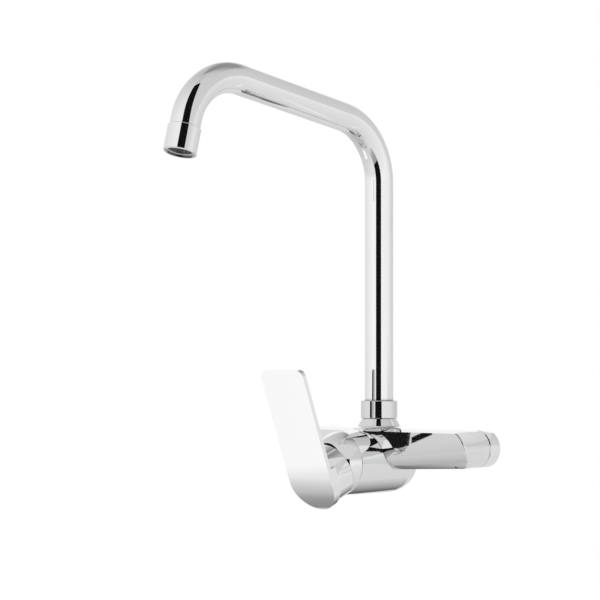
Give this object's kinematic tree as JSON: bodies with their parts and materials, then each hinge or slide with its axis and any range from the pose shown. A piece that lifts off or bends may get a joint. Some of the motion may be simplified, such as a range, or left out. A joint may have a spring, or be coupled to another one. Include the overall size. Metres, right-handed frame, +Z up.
{
  "type": "wall mounted sink mixer",
  "caption": "Chrome wall mixer for a sink, with a single tilting lever over a domed ceramic cartridge and a high swivelling spout ending in an aerator.",
  "frame": {"origin": "In the wall plane, midway between the two wall unions, at the height of their axes.", "axes": "+X runs along the wall from the left union to the right one as the user sees them, +Y goes into the wall, -Y points to the user, and +Z is up."},
  "size_m": [0.1788, 0.2484, 0.3182],
  "materials": {
    "polished_chrome": "mirror polished plating over brass",
    "raw_brass": "machined, hidden inside",
    "steel": "stainless, machined",
    "ceramic": "lapped ceramic",
    "dark_plastic": "moulded",
    "pale_plastic": "moulded",
    "black_rubber": "smooth moulded rubber"
  },
  "bodies": {
    "root": {"mixer_body": "polished_chrome", "inlet_nipple_left": "raw_brass", "inlet_nipple_right": "raw_brass", "inlet_washer_left": "black_rubber", "inlet_washer_right": "black_rubber", "inlet_filter_left": "steel", "inlet_filter_right": "steel", "spout_nut": "polished_chrome", "spout_slip_rings": "pale_plastic", "dome_cover": "polished_chrome", "cartridge_nut": "raw_brass", "cartridge_housing": "pale_plastic", "cartridge_base": "dark_plastic", "base_seals": "black_rubber", "fixed_disc": "ceramic"},
    "left_union": {"union_nut_left": "polished_chrome"},
    "right_union": {"union_nut_right": "polished_chrome"},
    "spout": {"spout_tube": "polished_chrome", "spout_ferrule": "raw_brass", "spout_o_rings": "black_rubber", "aerator_housing": "polished_chrome", "aerator_insert": "pale_plastic", "aerator_grid": "dark_plastic", "aerator_screen": "steel", "aerator_washer": "black_rubber"},
    "rotor": {"cartridge_rotor": "dark_plastic", "stem_pin": "steel"},
    "lever": {"lever_handle": "polished_chrome", "lever_stem": "steel", "lever_screw": "steel", "screw_plug": "polished_chrome"},
    "disc": {"disc_carrier": "dark_plastic", "moving_disc": "ceramic"}
  },
  "joints": [
    {"name": "spout_swivel", "type": "hinge", "parent": "root", "child": "spout", "pos_m": [0, -0.036, 0.031], "axis": [0, 0, 1], "range_deg": [-90, 90]},
    {"name": "temperature", "type": "hinge", "parent": "root", "child": "rotor", "pos_m": [0, -0.0744, -0.0109], "axis": [0, 1, 0], "range_deg": [-45, 45]},
    {"name": "lever_lift", "type": "hinge", "parent": "rotor", "child": "lever", "pos_m": [0, -0.0744, -0.0109], "axis": [1, 0, 0], "range_deg": [-20.7, 2]},
    {"name": "disc_slide", "type": "slide", "parent": "rotor", "child": "disc", "axis": [0, 0, 1], "range_m": [-0.00655, 0.0008]},
    {"name": "left_union_turn", "type": "hinge", "parent": "root", "child": "left_union", "pos_m": [-0.075, -0.006, 0], "axis": [0, 1, 0], "continuous": true},
    {"name": "right_union_turn", "type": "hinge", "parent": "root", "child": "right_union", "pos_m": [0.075, -0.006, 0], "axis": [0, 1, 0], "continuous": true}
  ],
  "couplings": [
    {"joint": "disc_slide", "follows": "lever_lift", "m_per_rad": 0.01755}
  ]
}
